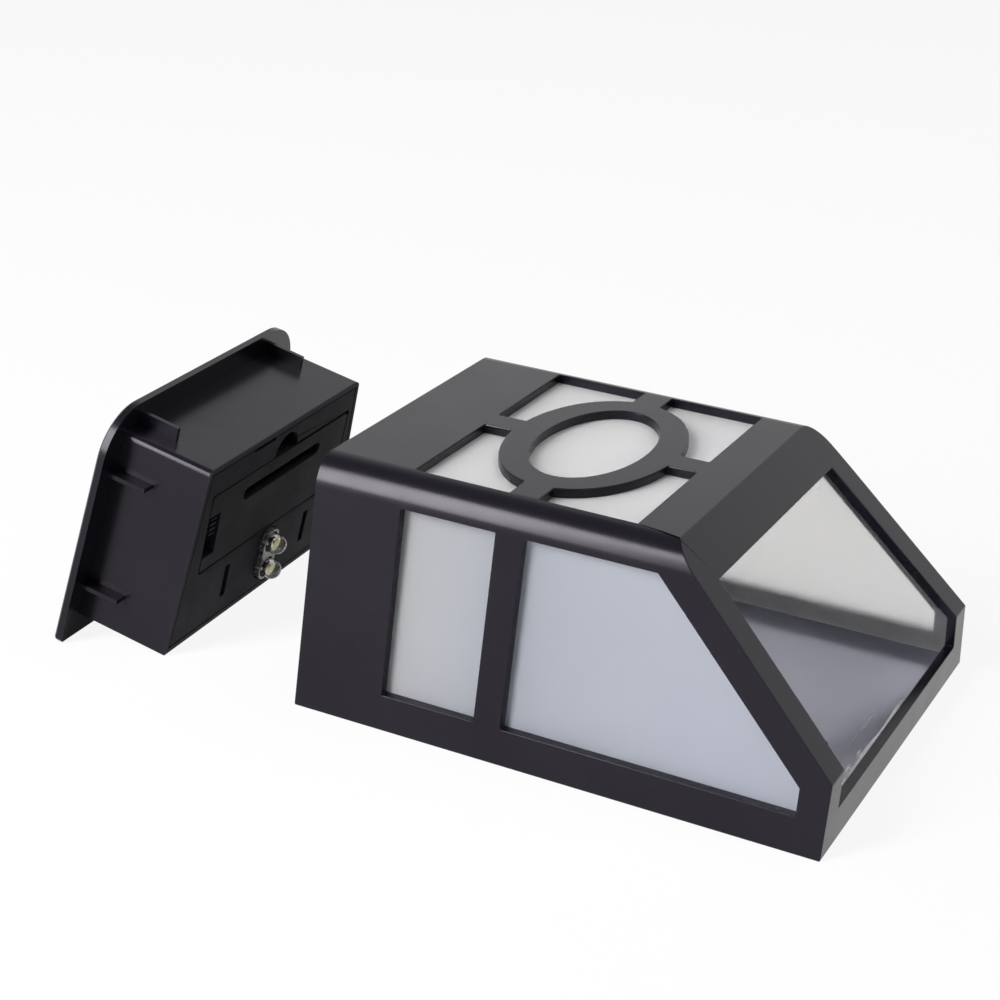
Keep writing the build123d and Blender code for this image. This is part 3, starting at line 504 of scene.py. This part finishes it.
def clearHolder():
    look = clearHolderLook
    material, tree, shader = newMaterial("clearHolder")
    cloud = addNoise(tree, objectCoordinates(tree), look["cloudScale"], 4)
    tree.links.new(mixColour(tree, cloud, look["clear"], look["milk"]), shader.inputs["Base Color"])
    tree.links.new(spreadNoise(tree, cloud, look["roughLow"], look["roughHigh"]), shader.inputs["Roughness"])
    shader.inputs["Transmission Weight"].default_value = look["transmission"]
    shader.inputs["IOR"].default_value = look["ior"]
    addBump(tree, shader, cloud, 0.45, look["cloudDepth"])
    return material


# wire insulation
wireLook = {
    "redWire": {"deep": (0.34, 0.012, 0.012), "pale": (0.46, 0.025, 0.02)},
    "blackWire": {"deep": (0.008, 0.008, 0.009), "pale": (0.018, 0.018, 0.02)},
    "cloudScale": 500.0,
}


def wireSkin(name):
    look = wireLook[name]
    material, tree, shader = newMaterial(name)
    cloud = addNoise(tree, objectCoordinates(tree), wireLook["cloudScale"], 3)
    tree.links.new(mixColour(tree, cloud, look["deep"], look["pale"]), shader.inputs["Base Color"])
    tree.links.new(spreadNoise(tree, cloud, 0.32, 0.45), shader.inputs["Roughness"])
    addBump(tree, shader, cloud, 0.1, 0.00005)
    return material


# phosphor drop inside each light
phosphorLook = {"yellow": (0.93, 0.80, 0.36), "pale": (0.96, 0.88, 0.55), "grainScale": 4000.0}


def phosphorDrop():
    look = phosphorLook
    material, tree, shader = newMaterial("phosphorDrop")
    grain = addNoise(tree, objectCoordinates(tree), look["grainScale"], 3)
    tree.links.new(mixColour(tree, grain, look["yellow"], look["pale"]), shader.inputs["Base Color"])
    tree.links.new(spreadNoise(tree, grain, 0.4, 0.6), shader.inputs["Roughness"])
    return material


finishes = {
    "satinBlack": blackMoulding("satinBlack", satinBlackLook),
    "boxBlack": blackMoulding("boxBlack", satinBlackLook, mattBlackLook),
    "mattBlack": blackMoulding("mattBlack", mattBlackLook),
    "frontSheet": frostedSheet("frontSheet"),
    "nearSheet": frostedSheet("nearSheet"),
    "farSheet": frostedSheet("farSheet"),
    "silverSheet": silverSheet(),
    "platedSteel": platedSteel(),
    "panelBoard": panelBoard(),
    "solarCells": solarCells(),
    "clearCover": clearCover(),
    "cellSleeve": cellSleeve(),
    "greenBoard": greenBoard(),
    "componentBlack": componentBlack(),
    "clearResin": clearResin(),
    "clearHolder": clearHolder(),
    "redWire": wireSkin("redWire"),
    "blackWire": wireSkin("blackWire"),
    "phosphorDrop": phosphorDrop(),
}
nodeFinish = {
    "satinBlack": ["lantern_frame", "back_plate"],
    "boxBlack": ["module_housing"],
    "mattBlack": ["module_lid", "battery_door", "switch_knob"],
    "frontSheet": ["front_diffuser"],
    "nearSheet": ["near_diffuser"],
    "farSheet": ["far_diffuser"],
    "silverSheet": ["reflector_sheet"],
    "platedSteel": ["back_screws", "plus_contact", "minus_contact", "led_leads"],
    "panelBoard": ["panel_base"],
    "solarCells": ["panel_cells"],
    "clearCover": ["panel_cover"],
    "cellSleeve": ["battery_cell"],
    "greenBoard": ["circuit_board"],
    "componentBlack": ["driver_chip", "storage_choke", "switch_body"],
    "clearResin": ["led_upper", "led_lower"],
    "clearHolder": ["led_holder"],
    "redWire": ["panel_wire_red", "battery_wire_red"],
    "blackWire": ["panel_wire_black", "switch_link_wire", "battery_wire_black"],
}
for finish, names in nodeFinish.items():
    for name in names:
        nodes[name].data.materials.clear()
        nodes[name].data.materials.append(finishes[finish])
print("finishes on:", sum(len(names) for names in nodeFinish.values()), "nodes")

# soft moulded edges on the black pieces; the box has its roundings in its solid
edgeRound = {
    "lantern_frame": {"width": 0.0003, "offset": "ABSOLUTE"},
    "back_plate": {"width": 0.00025, "offset": "OFFSET"},
    "module_lid": {"width": 0.0002, "offset": "OFFSET"},
    "battery_door": {"width": 0.00015, "offset": "OFFSET"},
    "switch_knob": {"width": 0.00012, "offset": "OFFSET"},
}
edgeStyle = {"merge": 0.000005, "segments": 2, "angle": 32}
for name, edge in edgeRound.items():
    weld = nodes[name].modifiers.new("joinFacets", "WELD")
    weld.merge_threshold = edgeStyle["merge"]
    rounding = nodes[name].modifiers.new("softEdges", "BEVEL")
    rounding.width = edge["width"]
    rounding.offset_type = edge["offset"]
    rounding.segments = edgeStyle["segments"]
    rounding.limit_method = "ANGLE"
    rounding.angle_limit = math.radians(edgeStyle["angle"])
    rounding.use_clamp_overlap = False
    rounding.harden_normals = False
    rounding.miter_outer = "MITER_ARC"
    shading = nodes[name].modifiers.new("evenShading", "WEIGHTED_NORMAL")
    shading.mode = "FACE_AREA"
    shading.keep_sharp = True
print("edges rounded:", len(edgeRound))

# camera at the photograph's place
cameraSetup = {
    "place": (0.160171, -0.403030, 0.230475),
    "right": (0.888639, 0.456587, 0.043008),
    "up": (-0.216313, 0.334609, 0.917194),
    "back": (0.404388, -0.824357, 0.396113),
    "lens": 76.553,
}
cameraData = bpy.data.cameras.new("viewCamera")
cameraData.sensor_fit = "HORIZONTAL"
cameraData.sensor_width = 36.0
cameraData.lens = cameraSetup["lens"]
cameraData.clip_start = 0.01
camera = bpy.data.objects.new("viewCamera", cameraData)
turned = Matrix([cameraSetup[key] for key in ("right", "up", "back")]).transposed().to_4x4()
camera.matrix_world = Matrix.Translation(cameraSetup["place"]) @ turned
scene.collection.objects.link(camera)
scene.camera = camera

# pale floor: white to the eye and in reflections, with the object's soft shadow kept
floorSetup = {
    "half": 3.0,
    "below": 0.0002,
    "paint": (0.86, 0.86, 0.86),
    "speckScale": 40.0,
    "speckRise": 1.03,
    "keep": 0.11,
}
# floor under the standing module, dim in reflections because the box shades it
moduleShade = {"from": -0.001, "to": 0.0235, "halfAcross": 0.046, "share": 0.1}


def shadeMask(tree):
    axes = addNode(tree, "ShaderNodeSeparateXYZ")
    tree.links.new(moduleCoordinates(tree), axes.inputs[0])
    along = addMath(tree, "GREATER_THAN", axes.outputs["X"], moduleShade["from"])
    before = addMath(tree, "LESS_THAN", axes.outputs["X"], moduleShade["to"])
    aside = addMath(tree, "ABSOLUTE", axes.outputs["Y"])
    across = addMath(tree, "LESS_THAN", aside, moduleShade["halfAcross"])
    under = addMath(tree, "MULTIPLY", addMath(tree, "MULTIPLY", along, before), across)
    return mapRange(tree, under, 0, 1, 1, moduleShade["share"])


def floorMaterial():
    material, tree, shader = newMaterial("paleFloor")
    speck = addNoise(tree, objectCoordinates(tree), floorSetup["speckScale"], 3)
    paint = floorSetup["paint"]
    pale = tuple(channel * floorSetup["speckRise"] for channel in paint)
    tree.links.new(mixColour(tree, speck, paint, pale), shader.inputs["Base Color"])
    shader.inputs["Roughness"].default_value = 0.9
    glow = addNode(tree, "ShaderNodeEmission", {"Color": (1, 1, 1, 1), "Strength": 1.0})
    path = addNode(tree, "ShaderNodeLightPath")
    mirrored = addMath(tree, "MULTIPLY", path.outputs["Is Glossy Ray"], shadeMask(tree))
    seen = addMath(tree, "MAXIMUM", path.outputs["Is Camera Ray"], mirrored)
    seen = addMath(tree, "MAXIMUM", seen, path.outputs["Is Transmission Ray"])
    mix = addNode(tree, "ShaderNodeMixShader")
    tree.links.new(addMath(tree, "MULTIPLY", seen, 1 - floorSetup["keep"]), mix.inputs[0])
    tree.links.new(shader.outputs[0], mix.inputs[1])
    tree.links.new(glow.outputs[0], mix.inputs[2])
    tree.links.new(mix.outputs[0], tree.nodes["Material Output"].inputs["Surface"])
    return material


floorMesh = bpy.data.meshes.new("paleFloor")
floorShape = bmesh.new()
bmesh.ops.create_grid(floorShape, x_segments=1, y_segments=1, size=floorSetup["half"])
bmesh.ops.translate(floorShape, verts=floorShape.verts, vec=(0, 0, -floorSetup["below"]))
floorShape.to_mesh(floorMesh)
floorShape.free()
floor = bpy.data.objects.new("paleFloor", floorMesh)
floorMesh.materials.append(floorMaterial())
scene.collection.objects.link(floor)

# soft studio light
world = bpy.data.worlds.new("studio")
scene.world = world
world.use_nodes = True
worldTree = world.node_tree
studio = {
    "level": 0.17,
    "sky": (0.95, 0.965, 1.0),
    "ceiling": (0.32, 0.31, 0.34),
    "ceilingFrom": 0.6,
    "ceilingTo": 0.84,
}
ambient = worldTree.nodes["Background"]
ambient.inputs["Color"].default_value = (*studio["sky"], 1)
ambient.inputs["Strength"].default_value = studio["level"]
backdrop = addNode(worldTree, "ShaderNodeBackground", {"Strength": 1.0})
sky = addNode(worldTree, "ShaderNodeTexCoord")
skyAxes = addNode(worldTree, "ShaderNodeSeparateXYZ")
worldTree.links.new(sky.outputs["Generated"], skyAxes.inputs[0])
rise = mapRange(worldTree, skyAxes.outputs["Z"], studio["ceilingFrom"], studio["ceilingTo"], 0, 1)
white = (1.0, 1.0, 1.0)
worldTree.links.new(mixColour(worldTree, rise, white, studio["ceiling"]), backdrop.inputs["Color"])
rays = addNode(worldTree, "ShaderNodeLightPath").outputs
worldSeen = addMath(worldTree, "MAXIMUM", rays["Is Camera Ray"], rays["Is Glossy Ray"])
worldSeen = addMath(worldTree, "MAXIMUM", worldSeen, rays["Is Transmission Ray"])
worldMix = addNode(worldTree, "ShaderNodeMixShader")
worldTree.links.new(worldSeen, worldMix.inputs[0])
worldTree.links.new(ambient.outputs[0], worldMix.inputs[1])
worldTree.links.new(backdrop.outputs[0], worldMix.inputs[2])
worldTree.links.new(worldMix.outputs[0], worldTree.nodes["World Output"].inputs["Surface"])

softBoxes = {
    "keyStrip": {"place": (-0.512, -0.786, 0.575), "wide": 0.37, "tall": 0.84, "power": 17.2},
    "overhead": {"place": (0.42, 0.32, 1.0), "wide": 0.7, "tall": 0.7, "power": 2.8},
}
lampTarget = (0, 0, 0.03)
for name, box in softBoxes.items():
    lamp = bpy.data.lights.new(name, "AREA")
    lamp.shape = "RECTANGLE"
    lamp.size = box["wide"]
    lamp.size_y = box["tall"]
    lamp.energy = box["power"]
    holder = bpy.data.objects.new(name, lamp)
    aim = (Vector(lampTarget) - Vector(box["place"])).to_track_quat("-Z", "Y")
    holder.matrix_world = Matrix.Translation(box["place"]) @ aim.to_matrix().to_4x4()
    scene.collection.objects.link(holder)
print("camera, floor and light set")

# cup, phosphor drop and posts inside each clear light, along the light's own axis
lampCore = {
    "across": 0.0015,
    "levels": {"Lower": 0.0069, "Upper": 0.0141},
    "base": 0.0199,
    "cupFoot": 0.0248,
    "cupRim": 0.0260,
    "cupRadius": 0.00115,
    "footRadius": 0.00045,
    "cupWall": 0.00012,
    "dropRise": 0.0004,
    "postHalf": 0.00025,
    "postPitch": 0.00127,
    "postShort": 0.0004,
    "postEdge": 0.00006,
    "steps": 24,
}


def placePiece(name, shape, finish, body):
    mesh = bpy.data.meshes.new(name)
    bmesh.ops.transform(shape, matrix=moduleFrame, verts=shape.verts)
    bmesh.ops.recalc_face_normals(shape, faces=shape.faces)
    shape.to_mesh(mesh)
    shape.free()
    mesh.materials.append(finishes[finish])
    for face in mesh.polygons:
        face.use_smooth = True
    piece = bpy.data.objects.new(name, mesh)
    scene.collection.objects.link(piece)
    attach(piece, body)


def spinProfile(points, axisPoint, steps):
    shape = bmesh.new()
    previous = None
    for point in points:
        vertex = shape.verts.new(point)
        if previous is not None:
            shape.edges.new((previous, vertex))
        previous = vertex
    bmesh.ops.spin(shape, geom=shape.verts[:] + shape.edges[:], cent=axisPoint, axis=(1, 0, 0),
                   angle=math.tau, steps=steps, use_merge=True)
    bmesh.ops.remove_doubles(shape, verts=shape.verts, dist=1e-7)
    return shape


def buildLampCore(side, level):
    core = lampCore
    across = core["across"]
    axisPoint = (0, across, level)

    def ring(along, radius):
        return (along, across + radius, level)

    cup = spinProfile([
        ring(core["cupFoot"] - 2 * core["cupWall"], 0),
        ring(core["cupFoot"] - 2 * core["cupWall"], core["footRadius"] + core["cupWall"]),
        ring(core["cupRim"], core["cupRadius"]),
        ring(core["cupRim"], core["cupRadius"] - core["cupWall"]),
        ring(core["cupFoot"], core["footRadius"]),
        ring(core["cupFoot"], 0),
    ], axisPoint, core["steps"])
    placePiece("lampCup" + side, cup, "platedSteel", "module")
    dropRadius = core["cupRadius"] - 1.4 * core["cupWall"]
    top = core["cupRim"] - core["cupWall"]
    drop = spinProfile([
        ring(core["cupFoot"] + core["cupWall"], 0),
        ring(core["cupFoot"] + core["cupWall"], core["footRadius"]),
        ring(top, dropRadius),
        ring(top + 0.6 * core["dropRise"], 0.75 * dropRadius),
        ring(top + 0.9 * core["dropRise"], 0.4 * dropRadius),
        ring(top + core["dropRise"], 0),
    ], axisPoint, core["steps"])
    placePiece("phosphorDrop" + side, drop, "phosphorDrop", "module")
    posts = bmesh.new()
    thick = 2 * core["postHalf"]
    cupPost = (-core["postPitch"], core["cupFoot"] - core["cupWall"])
    barePost = (core["postPitch"], core["cupRim"] - core["postShort"])
    for shift, end in (cupPost, barePost):
        made = bmesh.ops.create_cube(posts, size=1)["verts"]
        length = end - core["base"]
        bmesh.ops.scale(posts, verts=made, vec=(length, thick, thick))
        bmesh.ops.translate(posts, verts=made, vec=(core["base"] + length / 2, across + shift, level))
    bmesh.ops.bevel(posts, geom=posts.edges[:], offset=core["postEdge"], affect="EDGES",
                    segments=2, profile=0.5, material=-1)
    placePiece("lampPosts" + side, posts, "platedSteel", "module")


for side, level in lampCore["levels"].items():
    buildLampCore(side, level)
print("light cores built")
